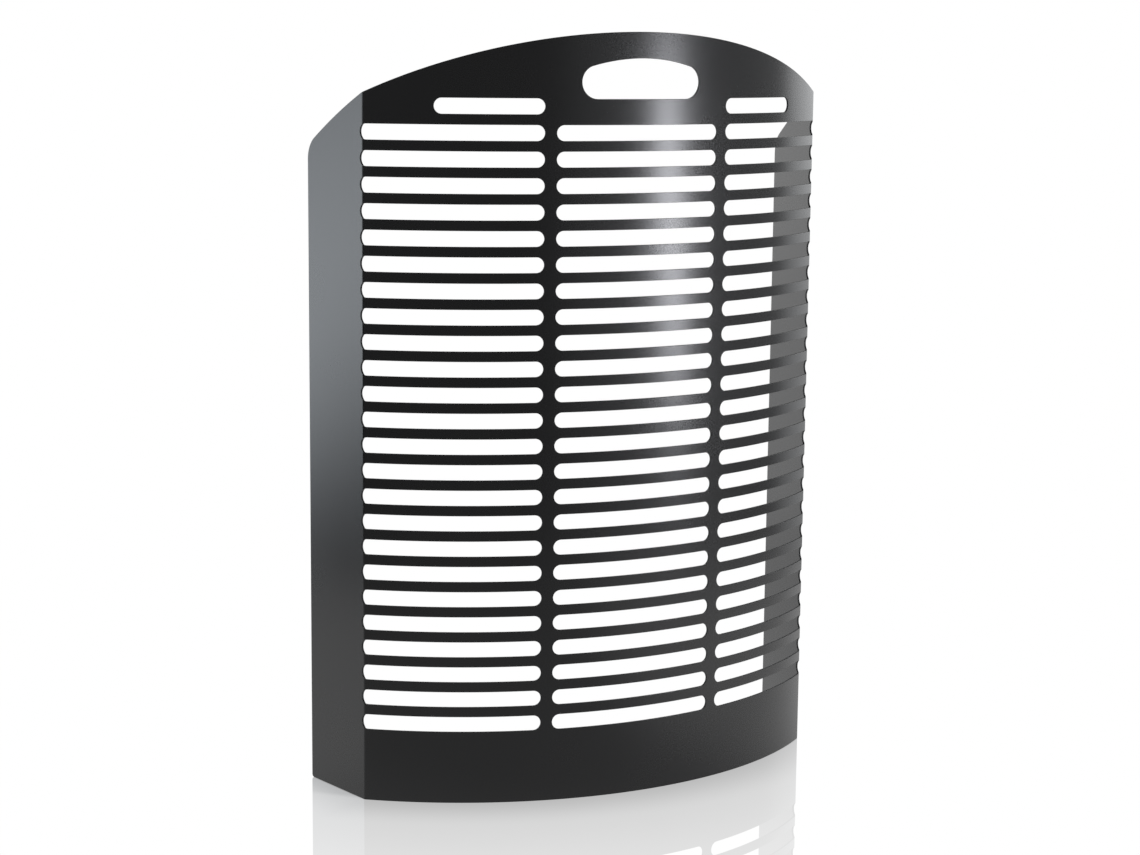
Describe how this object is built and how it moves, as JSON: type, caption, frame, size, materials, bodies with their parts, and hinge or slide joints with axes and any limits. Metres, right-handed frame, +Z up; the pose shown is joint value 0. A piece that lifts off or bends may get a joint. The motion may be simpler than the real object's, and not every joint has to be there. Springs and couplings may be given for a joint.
{
  "type": "stove spark guard",
  "caption": "Free-standing curved sheet-steel screen with horizontal slots, an arched top, a hand hole and folded side wings, standing in front of a stove or hearth.",
  "frame": {"origin": "middle of the guard's footprint, on the floor that it stands on", "axes": "+Z up, +Y towards the stove behind the guard, -Y out of the bulging front into the room, +X to the right of somebody facing the front"},
  "size_m": [0.5406, 0.188, 0.75],
  "materials": {
    "powder_coat": "satin black powder coat on steel sheet, with a fine even texture"
  },
  "bodies": {
    "root": {"front_panel": "powder_coat", "left_wing": "powder_coat", "right_wing": "powder_coat"}
  },
  "joints": []
}
